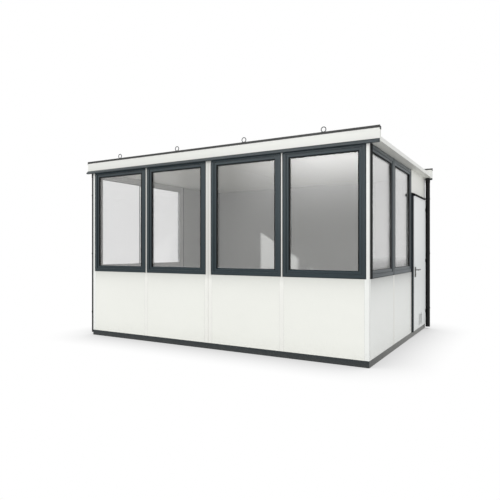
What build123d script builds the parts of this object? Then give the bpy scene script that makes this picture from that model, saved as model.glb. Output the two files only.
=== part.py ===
from build123d import *
import os

os.makedirs("parts", exist_ok=True)

# Guard booth: a steel base frame, modular sandwich walls, a flat roof slab
# between two fascias, and one outward opening door in the right wall.
# X runs along the front, Y to the rear, Z up, and the ground is Z = 0.

# Plan of the walls, all in millimetres
wall_thickness = 60.0
front_module = 990.0
side_module = 1000.0
door_module = 988.0
joint_width = 16.0
centre_post_width = 75.0
corner_width = 32.0
corner_round = 4.0
post_groove_width = 4.0
post_groove_depth = 5.0
frame_lap = 19.0
panel_bevel = 2.0

# Levels above the ground
base_height = 74.0
sill_level = 938.0
wall_top = 2397.0

# Base frame and floor
rail_sheet = 4.0
joist_width = 50.0
joist_spacing = 450.0
deck_thickness = 18.0
deck_gap = 1.0

# Window section
edge_gap = 9.0
edge_gap_depth = 12.0
casing_face = 46.0
casing_gap = 4.0
casing_gap_depth = 14.0
sash_face = 35.0
sash_setback = 6.0
bead_slope = 7.0
bead_depth = 16.0
glass_setback = 22.0
glass_thickness = 6.0
glass_edge = 10.0
glass_gap = 1.0
sash_inner_setback = 4.0

# Door and its frame
jamb_face = 46.0
jamb_proud = 26.0
head_height = 30.0
head_level = 2042.0
drip_reach = 45.0
drip_fall = 16.0
drip_lip = 14.0
drip_sheet = 3.0
drip_inset = 13.0
drip_cheek_drop = 22.0
stop_width = 15.0
stop_gap = 6.0
sill_plate = 4.0
leaf_thickness = 44.0
leaf_side_gap = 7.0
leaf_hinge_gap = 6.0
leaf_end_gap = 6.0
leaf_bevel = 1.5
hinge_axis_out = 12.0
hinge_axis_side = 3.0
hinge_pin_radius = 7.0
hinge_plate = 4.0
hinge_plate_width = 34.0
hinge_height = 96.0
hinge_arm = 6.5
hinge_split = 0.3
hinge_inset = 176.0

# Door handle
handle_backset = 70.0
handle_level = 964.0
handle_plate_width = 46.0
handle_plate_top = 42.0
handle_plate_drop = 106.0
handle_plate_depth = 10.0
handle_plate_round = 8.0
spindle_radius = 8.0
spindle_play = 0.5
lever_reach = 40.0
lever_length = 125.0
lever_height = 20.0
lever_depth = 13.0
lever_round = 5.0
cylinder_drop = 72.0
cylinder_radius = 8.5
cylinder_proud = 5.0

# Vent in the door leaf
vent_width = 234.0
vent_height = 176.0
vent_bottom = 122.0
vent_from_hinge_edge = 312.0
vent_rim = 15.0
vent_flange = 4.0
louvre_count = 7
louvre_sheet = 2.0
louvre_depth = 24.0
louvre_tilt = 40.0

# Roof
roof_overhang = 112.0
roof_slab = 46.0
fascia_depth = 40.0
fascia_height = 151.0
fascia_bevel = 2.0
cap_sheet = 3.0
cap_lip = 18.0
cap_end_lip = 34.0
trim_sheet = 3.0
trim_flange = 40.0
sheet_thickness = 3.0
sheet_margin = 6.0
rib_pitch = 333.0
rib_base = 66.0
rib_crest = 30.0
rib_height = 28.0

# Drip strip under each fascia
strip_top = 2420.0
strip_bottom = 2377.0
strip_reach = 42.0
strip_crown = 4.0
strip_nose = 13.0
strip_groove_width = 8.0
strip_groove_depth = 4.0
strip_groove_inset = 8.0
strip_end_slant = 12.0

# Lifting eyes on the fascias
eye_count = 4
eye_spacing = 1030.0
eye_ring_radius = 28.0
eye_wire_radius = 5.0
eye_centre_rise = 40.0
eye_shank_radius = 7.0
eye_collar_radius = 15.0
eye_collar_height = 6.0

# Downpipes
pipe_radius = 33.5
pipe_wall = 2.5
pipe_offset = 51.0
pipe_edge = 64.0
pipe_bottom = 30.0
socket_length = 70.0
socket_wall = 3.0
bracket_above_bottom = 300.0
bracket_above_head = 23.0
bracket_height = 24.0
bracket_sheet = 3.0
bracket_foot_width = 26.0
bracket_foot_height = 60.0

# Sizes that follow from the ones above
booth_length = 4 * front_module + 2 * joint_width + centre_post_width + 2 * corner_width
booth_depth = 2 * wall_thickness + 2 * side_module + 2 * joint_width + door_module
half_length = booth_length / 2
half_depth = booth_depth / 2
frame_face = casing_face + casing_gap + sash_face
window_height = wall_top - sill_level

# Each wall is drawn flat from its left end, seen from outside: x along the wall,
# y into the booth from the outer face, z up. These places stand the walls up.
front_wall = Location((-half_length, -half_depth, 0), (0, 0, 0))
right_wall = Location((half_length, -half_depth, 0), (0, 0, 90))
rear_wall = Location((half_length, half_depth, 0), (0, 0, 180))
left_wall = Location((-half_length, half_depth, 0), (0, 0, -90))

parts = {}


def block(x0, x1, y0, y1, z0, z1):
    """A plain box between two corners."""
    size = Box(x1 - x0, y1 - y0, z1 - z0, align=(Align.MIN, Align.MIN, Align.MIN))
    return Pos(x0, y0, z0) * size


def bevelled_panel(x0, x1, z0, z1):
    """A sandwich panel whose outer upright edges are eased, so a joint reads as a line."""
    panel = block(x0, x1, 0, wall_thickness, z0, z1)
    uprights = panel.edges().filter_by(Axis.Z).group_by(Axis.Y)[0]
    return chamfer(uprights, panel_bevel)


def upright_post(x0, x1, lap_left, lap_right, z1):
    """A wall post: wide behind the lower panels, cut back beside the windows."""
    lower = block(x0 - lap_left, x1 + lap_right, 0, wall_thickness, base_height, sill_level)
    upper = block(x0, x1, 0, wall_thickness, sill_level, z1)
    return lower + upper


def rounded_corner(post, corner_x):
    """The post again, with its outer edge at the corner of the booth rounded."""
    corner_edges = []
    for edge in post.edges().filter_by(Axis.Z):
        middle = edge.center()
        if abs(middle.X - corner_x) + abs(middle.Y) < corner_round:
            corner_edges.append(edge)
    return fillet(corner_edges, corner_round)


def plain_post(x0, x1, z1):
    """A post of one width over its whole height, with eased outer corners."""
    return bevelled_panel(x0, x1, base_height, z1)


def side_mullion(x0, lap_left, lap_right):
    """The wide lower part of a side wall mullion, between two lower panels."""
    x1 = x0 + joint_width
    return block(x0 - lap_left, x1 + lap_right, 0, wall_thickness, base_height, sill_level)


def side_strip(x0):
    """The narrow strip that closes a side wall joint above a mullion."""
    return block(x0, x0 + joint_width, 0, wall_thickness, sill_level, wall_top)


def window_frame(x0, width):
    """Casing and sash in one mitred section, run round the opening."""
    sash_start = casing_face + casing_gap
    section = Polyline(
        (edge_gap_depth, 0),
        (edge_gap_depth, edge_gap),
        (0, edge_gap),
        (0, casing_face),
        (casing_gap_depth, casing_face),
        (casing_gap_depth, sash_start),
        (sash_setback, sash_start),
        (sash_setback, frame_face - bead_slope),
        (bead_depth, frame_face),
        (glass_setback, frame_face),
        (glass_setback, frame_face - glass_edge),
        (glass_setback + glass_thickness, frame_face - glass_edge),
        (glass_setback + glass_thickness, frame_face),
        (wall_thickness - sash_inner_setback - bead_slope, frame_face),
        (wall_thickness - sash_inner_setback, frame_face - bead_slope),
        (wall_thickness - sash_inner_setback, sash_start),
        (wall_thickness, casing_face),
        (wall_thickness, 0),
        close=True,
    )
    start = (x0 + width / 2, 0, sill_level)
    section_plane = Plane(origin=start, x_dir=(0, 1, 0), z_dir=(1, 0, 0))
    path = Polyline(
        start,
        (x0 + width, 0, sill_level),
        (x0 + width, 0, wall_top),
        (x0, 0, wall_top),
        (x0, 0, sill_level),
        start,
    )
    return sweep(section_plane * make_face(section), path=path, transition=Transition.RIGHT)


def window_pane(x0, width):
    """The glass, held in the groove of the sash."""
    edge = frame_face - glass_edge + glass_gap
    return block(
        x0 + edge,
        x0 + width - edge,
        glass_setback,
        glass_setback + glass_thickness,
        sill_level + edge,
        wall_top - edge,
    )


# Base frame: a channel section run round the plan, with joists across it
rail_section = Polyline(
    (0, 0),
    (wall_thickness, 0),
    (wall_thickness, rail_sheet),
    (rail_sheet, rail_sheet),
    (rail_sheet, base_height - rail_sheet),
    (wall_thickness, base_height - rail_sheet),
    (wall_thickness, base_height),
    (0, base_height),
    close=True,
)
rail_start = (0, -half_depth, 0)
rail_plane = Plane(origin=rail_start, x_dir=(0, 1, 0), z_dir=(1, 0, 0))
rail_path = Polyline(
    rail_start,
    (half_length, -half_depth, 0),
    (half_length, half_depth, 0),
    (-half_length, half_depth, 0),
    (-half_length, -half_depth, 0),
    rail_start,
)
base_frame = sweep(rail_plane * make_face(rail_section), path=rail_path, transition=Transition.RIGHT)
joist_top = base_height - deck_thickness
joist_reach = half_depth - rail_sheet
joist_count = int((booth_length - 2 * wall_thickness) // joist_spacing)
for number in range(joist_count):
    joist_x = (number - (joist_count - 1) / 2) * joist_spacing
    joist = block(
        joist_x - joist_width / 2,
        joist_x + joist_width / 2,
        -joist_reach,
        joist_reach,
        rail_sheet,
        joist_top,
    )
    hollow = block(
        joist_x - joist_width / 2 + rail_sheet,
        joist_x + joist_width / 2 - rail_sheet,
        -joist_reach + wall_thickness,
        joist_reach - wall_thickness,
        rail_sheet,
        joist_top - rail_sheet,
    )
    base_frame += joist - hollow
parts["base_frame"] = base_frame

# Floor deck, laid on the joists and flush with the top of the rails
deck_x = half_length - wall_thickness - deck_gap
deck_y = half_depth - wall_thickness - deck_gap
parts["floor_deck"] = block(-deck_x, deck_x, -deck_y, deck_y, joist_top, base_height)

# Stations along the front and rear walls
bay_starts = [corner_width]
bay_starts.append(bay_starts[0] + front_module + joint_width)
bay_starts.append(bay_starts[1] + front_module + centre_post_width)
bay_starts.append(bay_starts[2] + front_module + joint_width)

# Corner posts close the ends of the front and rear walls
left_post = upright_post(0, corner_width, 0, frame_lap, wall_top)
right_post = upright_post(booth_length - corner_width, booth_length, frame_lap, 0, wall_top)
parts["corner_post_front_left"] = front_wall * rounded_corner(left_post, 0)
parts["corner_post_front_right"] = front_wall * rounded_corner(right_post, booth_length)
parts["corner_post_rear_right"] = rear_wall * plain_post(0, corner_width, wall_top)
parts["corner_post_rear_left"] = rear_wall * plain_post(
    booth_length - corner_width, booth_length, wall_top
)

# Posts between the bays. The front centre post has a groove down its middle.
centre_start = bay_starts[1] + front_module
centre_middle = centre_start + centre_post_width / 2
centre_post = upright_post(
    centre_start, centre_start + centre_post_width, frame_lap, frame_lap, wall_top
)
centre_post -= block(
    centre_middle - post_groove_width / 2,
    centre_middle + post_groove_width / 2,
    0,
    post_groove_depth,
    base_height,
    wall_top,
)
parts["front_centre_post"] = front_wall * centre_post
parts["rear_centre_post"] = rear_wall * plain_post(
    centre_start, centre_start + centre_post_width, wall_top
)
front_mullions = []
rear_mullions = []
for bay in (0, 2):
    mullion_start = bay_starts[bay] + front_module
    front_mullions.append(
        front_wall
        * upright_post(mullion_start, mullion_start + joint_width, frame_lap, frame_lap, wall_top)
    )
    rear_mullions.append(rear_wall * plain_post(mullion_start, mullion_start + joint_width, wall_top))
parts["front_mullions"] = Compound(children=front_mullions)
parts["rear_mullions"] = Compound(children=rear_mullions)

# Front wall bays: a lower panel, a window and its glass in each
front_panels = []
front_panes = []
for bay, bay_start in enumerate(bay_starts):
    panel = bevelled_panel(
        bay_start + frame_lap, bay_start + front_module - frame_lap, base_height, sill_level
    )
    front_panels.append(front_wall * panel)
    parts[f"front_window_frame_{bay + 1}"] = front_wall * window_frame(bay_start, front_module)
    front_panes.append(front_wall * window_pane(bay_start, front_module))
parts["front_lower_panels"] = Compound(children=front_panels)
parts["front_window_glass"] = Compound(children=front_panes)

# Rear wall: four plain panels of full height
rear_panels = []
for bay_start in bay_starts:
    rear_panels.append(
        rear_wall * bevelled_panel(bay_start, bay_start + front_module, base_height, wall_top)
    )
parts["rear_wall_panels"] = Compound(children=rear_panels)

# Right wall, from the front corner: two windows and the door
right_window_1 = wall_thickness
right_window_2 = right_window_1 + side_module + joint_width
door_start = right_window_2 + side_module + joint_width
door_end = door_start + door_module
parts["right_window_frame_1"] = right_wall * window_frame(right_window_1, side_module)
parts["right_window_frame_2"] = right_wall * window_frame(right_window_2, side_module)
side_panes = [
    right_wall * window_pane(right_window_1, side_module),
    right_wall * window_pane(right_window_2, side_module),
]
parts["right_lower_panels"] = Compound(
    children=[
        right_wall
        * bevelled_panel(
            right_window_1, right_window_1 + side_module - frame_lap, base_height, sill_level
        ),
        right_wall
        * bevelled_panel(
            right_window_2 + frame_lap,
            right_window_2 + side_module - frame_lap,
            base_height,
            sill_level,
        ),
    ]
)
side_mullions = [
    right_wall * side_mullion(right_window_2 - joint_width, frame_lap, frame_lap),
    right_wall * side_mullion(door_start - joint_width, frame_lap, 0),
]
side_strips = [
    right_wall * side_strip(right_window_2 - joint_width),
    right_wall * side_strip(door_start - joint_width),
]

# Left wall, from the rear corner: a plain panel and two windows
left_panel = wall_thickness
left_window_2 = left_panel + door_module + joint_width
left_window_1 = left_window_2 + side_module + joint_width
left_end = left_window_1 + side_module
parts["left_wall_panel"] = left_wall * bevelled_panel(
    left_panel, left_panel + door_module, base_height, wall_top
)
parts["left_window_frame_1"] = left_wall * window_frame(left_window_1, side_module)
parts["left_window_frame_2"] = left_wall * window_frame(left_window_2, side_module)
side_panes.append(left_wall * window_pane(left_window_1, side_module))
side_panes.append(left_wall * window_pane(left_window_2, side_module))
parts["side_window_glass"] = Compound(children=side_panes)
parts["left_lower_panels"] = Compound(
    children=[
        left_wall
        * bevelled_panel(left_window_1 + frame_lap, left_end, base_height, sill_level),
        left_wall
        * bevelled_panel(
            left_window_2 + frame_lap,
            left_window_2 + side_module - frame_lap,
            base_height,
            sill_level,
        ),
    ]
)
side_mullions.append(left_wall * side_mullion(left_window_1 - joint_width, frame_lap, frame_lap))
side_mullions.append(left_wall * side_mullion(left_window_2 - joint_width, 0, frame_lap))
side_strips.append(left_wall * side_strip(left_window_1 - joint_width))
side_strips.append(left_wall * side_strip(left_window_2 - joint_width))
parts["side_mullions"] = Compound(children=side_mullions)
parts["side_window_strips"] = Compound(children=side_strips)

# Door frame. The latch jamb and the head stand proud, the hinge jamb is flush.
leaf_outer = -jamb_proud
leaf_inner = leaf_outer + leaf_thickness
stop_face = leaf_inner + stop_gap
latch_jamb_end = door_start + jamb_face
hinge_jamb_start = door_end - jamb_face
latch_jamb = block(
    door_start, latch_jamb_end, -jamb_proud, wall_thickness, base_height, head_level
)
latch_edges = latch_jamb.edges().filter_by(Axis.Z).group_by(Axis.Y)[0]
latch_jamb = chamfer(latch_edges, panel_bevel)
latch_jamb += block(
    latch_jamb_end,
    latch_jamb_end + stop_width,
    stop_face,
    wall_thickness,
    base_height + sill_plate,
    head_level,
)
parts["door_latch_jamb"] = right_wall * latch_jamb

hinge_jamb = block(hinge_jamb_start, door_end, 0, wall_thickness, base_height, head_level)
hinge_jamb += block(
    hinge_jamb_start - stop_width,
    hinge_jamb_start,
    stop_face,
    wall_thickness,
    base_height + sill_plate,
    head_level,
)
parts["door_hinge_jamb"] = right_wall * hinge_jamb

# Head rail with the upper stop, and a sloped drip sheet over the door with one end cheek
head_top = head_level + head_height
head_outline = Polyline(
    (0, head_level),
    (stop_face, head_level),
    (stop_face, head_level - stop_width),
    (wall_thickness, head_level - stop_width),
    (wall_thickness, head_top),
    (0, head_top),
    close=True,
)
drip_low = head_top - drip_fall
drip_outline = Polyline(
    (0, head_top),
    (-drip_reach, drip_low),
    (-drip_reach, drip_low - drip_lip),
    (-drip_reach + drip_sheet, drip_low - drip_lip),
    (-drip_reach + drip_sheet, drip_low - drip_sheet),
    (0, head_top - drip_sheet),
    close=True,
)
drip_start = door_start + drip_inset
head_plane = Plane(origin=(door_start, 0, 0), x_dir=(0, 1, 0), z_dir=(1, 0, 0))
drip_plane = Plane(origin=(drip_start, 0, 0), x_dir=(0, 1, 0), z_dir=(1, 0, 0))
head_rail = extrude(head_plane * make_face(head_outline), door_module)
head_rail += extrude(drip_plane * make_face(drip_outline), hinge_jamb_start - drip_start)
head_rail += block(
    drip_start,
    drip_start + drip_sheet,
    -drip_reach,
    0,
    head_level,
    drip_low,
)
head_rail += block(
    drip_start,
    drip_start + drip_sheet,
    -drip_reach,
    -jamb_proud,
    head_level - drip_cheek_drop,
    head_level,
)
head_rail -= block(
    door_start,
    latch_jamb_end + stop_width,
    stop_face,
    wall_thickness,
    head_level - stop_width,
    head_level,
)
head_rail -= block(
    hinge_jamb_start - stop_width,
    door_end,
    stop_face,
    wall_thickness,
    head_level - stop_width,
    head_level,
)
parts["door_head_rail"] = right_wall * head_rail
parts["door_header_panel"] = right_wall * bevelled_panel(door_start, door_end, head_top, wall_top)
parts["door_sill"] = right_wall * block(
    latch_jamb_end, hinge_jamb_start, 0, wall_thickness, base_height, base_height + sill_plate
)

# Door leaf with the vent opening and the spindle bore
leaf_start = latch_jamb_end + leaf_side_gap
leaf_end = hinge_jamb_start - leaf_hinge_gap
leaf_bottom = base_height + sill_plate + leaf_end_gap
leaf_top = head_level - leaf_end_gap
spindle_x = leaf_start + handle_backset
vent_end = leaf_end - vent_from_hinge_edge
vent_start = vent_end - vent_width
vent_top = vent_bottom + vent_height
leaf = block(leaf_start, leaf_end, leaf_outer, leaf_inner, leaf_bottom, leaf_top)
leaf = chamfer(leaf.edges().group_by(Axis.Y)[0], leaf_bevel)
leaf -= block(
    vent_start + vent_rim,
    vent_end - vent_rim,
    leaf_outer,
    leaf_inner,
    vent_bottom + vent_rim,
    vent_top - vent_rim,
)
leaf_middle = (leaf_outer + leaf_inner) / 2
bore_length = leaf_thickness + 2 * handle_plate_depth
spindle_bore = Pos(spindle_x, leaf_middle, handle_level) * (
    Rot(90, 0, 0) * Cylinder(spindle_radius + spindle_play, bore_length)
)
leaf -= spindle_bore
parts["door_leaf"] = right_wall * leaf

# Vent grille: a flanged sleeve with sloping blades
vent_centre_x = (vent_start + vent_end) / 2
vent_centre_z = (vent_bottom + vent_top) / 2
clear_width = vent_width - 2 * vent_rim - 2 * louvre_sheet
clear_height = vent_height - 2 * vent_rim - 2 * louvre_sheet
flange = block(
    vent_start, vent_end, leaf_outer - vent_flange, leaf_outer, vent_bottom, vent_top
)
flange = chamfer(flange.edges().group_by(Axis.Y)[0], leaf_bevel)
sleeve = block(
    vent_start + vent_rim,
    vent_end - vent_rim,
    leaf_outer,
    leaf_inner,
    vent_bottom + vent_rim,
    vent_top - vent_rim,
)
clear_way = block(
    vent_centre_x - clear_width / 2,
    vent_centre_x + clear_width / 2,
    leaf_outer - vent_flange,
    leaf_inner,
    vent_centre_z - clear_height / 2,
    vent_centre_z + clear_height / 2,
)
grille = flange + sleeve - clear_way
louvre_pitch = clear_height / louvre_count
for number in range(louvre_count):
    louvre_z = vent_centre_z + (number - (louvre_count - 1) / 2) * louvre_pitch
    blade = Box(clear_width + louvre_sheet, louvre_depth, louvre_sheet)
    blade_y = leaf_outer + louvre_depth / 2 - louvre_sheet
    grille += Pos(vent_centre_x, blade_y, louvre_z) * (Rot(louvre_tilt, 0, 0) * blade)
parts["door_vent_grille"] = right_wall * grille

# Handle plates on both faces of the leaf, with the lock cylinder below the lever
plate_bottom = handle_level - handle_plate_drop
plate_top = handle_level + handle_plate_top
plates = []
for outer_side in (True, False):
    plate_y = leaf_outer - handle_plate_depth if outer_side else leaf_inner
    plate = block(
        spindle_x - handle_plate_width / 2,
        spindle_x + handle_plate_width / 2,
        plate_y,
        plate_y + handle_plate_depth,
        plate_bottom,
        plate_top,
    )
    plate = fillet(plate.edges().filter_by(Axis.Y), handle_plate_round)
    barrel_length = handle_plate_depth + cylinder_proud
    barrel_y = leaf_outer - barrel_length / 2 if outer_side else leaf_inner + barrel_length / 2
    plate += Pos(spindle_x, barrel_y, handle_level - cylinder_drop) * (
        Rot(90, 0, 0) * Cylinder(cylinder_radius, barrel_length)
    )
    plate -= spindle_bore
    plates.append(right_wall * plate)
parts["door_handle_plates"] = Compound(children=plates)

# Lever: two rounded grips on one spindle
grip_centre = handle_plate_depth + lever_reach
spindle_length = leaf_thickness + 2 * grip_centre
lever = Pos(spindle_x, leaf_middle, handle_level) * (
    Rot(90, 0, 0) * Cylinder(spindle_radius, spindle_length)
)
for grip_y in (leaf_outer - grip_centre, leaf_inner + grip_centre):
    grip = block(
        spindle_x - lever_height / 2,
        spindle_x + lever_length,
        grip_y - lever_depth / 2,
        grip_y + lever_depth / 2,
        handle_level - lever_height / 2,
        handle_level + lever_height / 2,
    )
    lever += fillet(grip.edges(), lever_round)
parts["door_lever"] = right_wall * lever

# Hinges: the lower knuckle is on the jamb, the upper one on the leaf
hinge_x = leaf_end + hinge_axis_side
hinge_y = leaf_outer - hinge_axis_out
hinge_low = leaf_bottom + hinge_inset
hinge_high = leaf_top - hinge_inset
hinge_levels = (hinge_low, (hinge_low + hinge_high) / 2, hinge_high)
fixed_knuckles = []
moving_knuckles = []
for level in hinge_levels:
    knuckle_height = (hinge_height - hinge_split) / 2
    lower = level - hinge_split / 2 - knuckle_height
    upper = level + hinge_split / 2
    fixed = Pos(hinge_x, hinge_y, lower) * Cylinder(
        hinge_pin_radius, knuckle_height, align=(Align.CENTER, Align.CENTER, Align.MIN)
    )
    fixed += block(
        hinge_jamb_start,
        hinge_jamb_start + hinge_arm,
        hinge_y,
        0,
        lower,
        lower + knuckle_height,
    )
    fixed += block(
        hinge_jamb_start,
        hinge_jamb_start + hinge_plate_width,
        -hinge_plate,
        0,
        lower,
        lower + knuckle_height,
    )
    fixed_knuckles.append(right_wall * fixed)
    moving = Pos(hinge_x, hinge_y, upper) * Cylinder(
        hinge_pin_radius, knuckle_height, align=(Align.CENTER, Align.CENTER, Align.MIN)
    )
    moving += block(
        leaf_end - hinge_arm, hinge_x, hinge_y, leaf_outer, upper, upper + knuckle_height
    ) - block(leaf_end, hinge_x, leaf_outer - hinge_plate, leaf_outer, upper, upper + knuckle_height)
    moving += block(
        leaf_end - hinge_plate_width,
        leaf_end,
        leaf_outer - hinge_plate,
        leaf_outer,
        upper,
        upper + knuckle_height,
    )
    moving_knuckles.append(right_wall * moving)
parts["door_hinge_jamb_knuckles"] = Compound(children=fixed_knuckles)
parts["door_hinge_leaf_knuckles"] = Compound(children=moving_knuckles)

# Roof slab between the fascias, with side trims and a ribbed sheet on top
roof_half = half_length + roof_overhang
slab_top = wall_top + roof_slab
inner_y = half_depth - fascia_depth
parts["roof_slab"] = block(
    -roof_half + trim_sheet, roof_half - trim_sheet, -inner_y, inner_y, wall_top, slab_top
)
trims = []
for side in (-1, 1):
    trim_outline = Polyline(
        (side * (roof_half - trim_sheet), wall_top),
        (side * roof_half, wall_top),
        (side * roof_half, slab_top + trim_sheet),
        (side * (roof_half - trim_flange), slab_top + trim_sheet),
        (side * (roof_half - trim_flange), slab_top),
        (side * (roof_half - trim_sheet), slab_top),
        close=True,
    )
    trim_plane = Plane(origin=(0, inner_y, 0), x_dir=(1, 0, 0), z_dir=(0, -1, 0))
    trims.append(extrude(trim_plane * make_face(trim_outline), 2 * inner_y))
parts["roof_side_trims"] = Compound(children=trims)

sheet_half = roof_half - trim_flange - sheet_margin
rib_count = int((2 * sheet_half - rib_base) // rib_pitch) + 1
sheet_points = [(-sheet_half, slab_top), (-sheet_half, slab_top + sheet_thickness)]
for number in range(rib_count):
    rib_x = (number - (rib_count - 1) / 2) * rib_pitch
    sheet_points.append((rib_x - rib_base / 2, slab_top + sheet_thickness))
    sheet_points.append((rib_x - rib_crest / 2, slab_top + rib_height))
    sheet_points.append((rib_x + rib_crest / 2, slab_top + rib_height))
    sheet_points.append((rib_x + rib_base / 2, slab_top + sheet_thickness))
sheet_points.append((sheet_half, slab_top + sheet_thickness))
sheet_points.append((sheet_half, slab_top))
sheet_plane = Plane(origin=(0, inner_y, 0), x_dir=(1, 0, 0), z_dir=(0, -1, 0))
sheet_outline = make_face(Polyline(*sheet_points, close=True))
parts["roof_sheet"] = extrude(sheet_plane * sheet_outline, 2 * inner_y)

# Fascias, caps, drip strips and lifting eyes are drawn once, then turned to the rear
fascia_top = wall_top + fascia_height
fascia = block(-roof_half, roof_half, -half_depth, -inner_y, wall_top, fascia_top)
fascia = chamfer(fascia.edges().filter_by(Axis.X).group_by(Axis.Y)[0], fascia_bevel)

cap_top = fascia_top + cap_sheet
cap = block(
    -roof_half - cap_sheet,
    roof_half + cap_sheet,
    -half_depth - cap_sheet,
    -inner_y + cap_sheet,
    cap_top - cap_lip,
    cap_top,
)
for side in (-1, 1):
    end_inner = side * roof_half
    end_outer = side * (roof_half + cap_sheet)
    cap += block(
        min(end_inner, end_outer),
        max(end_inner, end_outer),
        -half_depth - cap_sheet,
        -inner_y + cap_sheet,
        cap_top - cap_end_lip,
        cap_top,
    )
cap -= fascia

strip_outline = Polyline(
    (0, strip_top),
    (-strip_crown, strip_top),
    (-strip_reach, strip_bottom + strip_nose),
    (-strip_reach, strip_bottom),
    (-strip_reach + strip_groove_inset, strip_bottom),
    (-strip_reach + strip_groove_inset, strip_bottom + strip_groove_depth),
    (-strip_reach + strip_groove_inset + strip_groove_width, strip_bottom + strip_groove_depth),
    (-strip_reach + strip_groove_inset + strip_groove_width, strip_bottom),
    (0, strip_bottom),
    close=True,
)
strip_plane = Plane(origin=(-roof_half, -half_depth, 0), x_dir=(0, 1, 0), z_dir=(1, 0, 0))
strip = extrude(strip_plane * make_face(strip_outline), 2 * roof_half)
for side in (-1, 1):
    slant_outline = Polyline(
        (side * roof_half, -half_depth - strip_reach),
        (side * (roof_half - strip_end_slant), -half_depth - strip_reach),
        (side * roof_half, -half_depth),
        close=True,
    )
    slant = Pos(0, 0, strip_bottom) * make_face(slant_outline)
    strip -= extrude(slant, amount=strip_top - strip_bottom, dir=(0, 0, 1))

eye_y = -(half_depth - fascia_depth / 2)
eyes = []
for number in range(eye_count):
    eye_x = (number - (eye_count - 1) / 2) * eye_spacing
    eye = Pos(eye_x, eye_y, cap_top) * Cylinder(
        eye_collar_radius, eye_collar_height, align=(Align.CENTER, Align.CENTER, Align.MIN)
    )
    shank_length = eye_centre_rise - eye_ring_radius
    eye += Pos(eye_x, eye_y, cap_top) * Cylinder(
        eye_shank_radius, shank_length, align=(Align.CENTER, Align.CENTER, Align.MIN)
    )
    ring = Rot(90, 0, 0) * Torus(eye_ring_radius, eye_wire_radius)
    eye += Pos(eye_x, eye_y, cap_top + eye_centre_rise) * ring
    eyes.append(eye)

to_rear = Rot(0, 0, 180)
parts["fascia_front"] = fascia
parts["fascia_rear"] = to_rear * fascia
parts["fascia_caps"] = Compound(children=[cap, to_rear * cap])
parts["drip_strips"] = Compound(children=[strip, to_rear * strip])
parts["lifting_eyes"] = Compound(children=eyes + [to_rear * eye for eye in eyes])

# Downpipes on opposite corners, each held by clamps
pipe_x = half_length + pipe_offset
pipe_y = half_depth - pipe_edge
pipe = Pos(pipe_x, pipe_y, pipe_bottom) * Cylinder(
    pipe_radius, wall_top - pipe_bottom, align=(Align.CENTER, Align.CENTER, Align.MIN)
)
pipe += Pos(pipe_x, pipe_y, wall_top - socket_length) * Cylinder(
    pipe_radius + socket_wall, socket_length, align=(Align.CENTER, Align.CENTER, Align.MIN)
)
pipe -= Pos(pipe_x, pipe_y, pipe_bottom) * Cylinder(
    pipe_radius - pipe_wall, wall_top - pipe_bottom, align=(Align.CENTER, Align.CENTER, Align.MIN)
)
bracket_low = pipe_bottom + bracket_above_bottom
bracket_high = head_level + bracket_above_head
clamps = []
for level in (bracket_low, (bracket_low + bracket_high) / 2, bracket_high):
    clamp = Pos(pipe_x, pipe_y, level) * Cylinder(pipe_radius + bracket_sheet, bracket_height)
    clamp += block(
        half_length,
        pipe_x,
        pipe_y - bracket_sheet,
        pipe_y + bracket_sheet,
        level - bracket_height / 2,
        level + bracket_height / 2,
    )
    clamp += block(
        half_length,
        half_length + bracket_sheet,
        pipe_y - bracket_foot_width / 2,
        pipe_y + bracket_foot_width / 2,
        level - bracket_foot_height / 2,
        level + bracket_foot_height / 2,
    )
    clamp -= Pos(pipe_x, pipe_y, level) * Cylinder(pipe_radius, bracket_foot_height)
    clamps.append(clamp)
parts["downpipes"] = Compound(children=[pipe, to_rear * pipe])
parts["downpipe_clamps"] = Compound(children=clamps + [to_rear * clamp for clamp in clamps])

for name, shape in parts.items():
    export_step(shape, f"parts/{name}.step")
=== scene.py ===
import math

import bmesh
import bpy
from mathutils import Matrix, Vector


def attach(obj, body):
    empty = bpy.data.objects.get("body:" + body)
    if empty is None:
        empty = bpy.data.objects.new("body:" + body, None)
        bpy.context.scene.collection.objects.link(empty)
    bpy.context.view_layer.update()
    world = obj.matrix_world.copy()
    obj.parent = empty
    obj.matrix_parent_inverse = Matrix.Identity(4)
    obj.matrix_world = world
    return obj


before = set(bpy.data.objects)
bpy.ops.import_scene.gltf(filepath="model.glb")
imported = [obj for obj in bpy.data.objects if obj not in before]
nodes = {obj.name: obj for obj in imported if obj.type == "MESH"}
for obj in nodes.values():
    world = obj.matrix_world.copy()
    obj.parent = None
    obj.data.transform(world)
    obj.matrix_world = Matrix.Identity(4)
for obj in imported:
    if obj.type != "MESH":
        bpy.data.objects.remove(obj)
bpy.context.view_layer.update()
scene = bpy.context.scene
print("frame loaded:", len(nodes), "nodes")

# Plan and levels of the walls in metres
wallThickness = 0.060
frontModule = 0.990
sideModule = 1.000
doorModule = 0.988
jointWidth = 0.016
centrePost = 0.075
cornerWidth = 0.032
frameLap = 0.019
baseTop = 0.074
sillLevel = 0.938
headTop = 2.072
wallTop = 2.397
halfLength = (4 * frontModule + 2 * jointWidth + centrePost + 2 * cornerWidth) / 2
halfDepth = (2 * wallThickness + 2 * sideModule + 2 * jointWidth + doorModule) / 2
coatSplit = 0.030  # the two colours of a profile meet halfway through the wall

# Where the bays start along each wall, from its left end seen from outside
bayStarts = [cornerWidth]
for gap in (jointWidth, centrePost, jointWidth):
    bayStarts.append(bayStarts[-1] + frontModule + gap)
rightStarts = [wallThickness, wallThickness + sideModule + jointWidth]
leftStarts = [2 * halfDepth - sideModule - start for start in reversed(rightStarts)]
doorStart = rightStarts[-1] + sideModule + jointWidth


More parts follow.
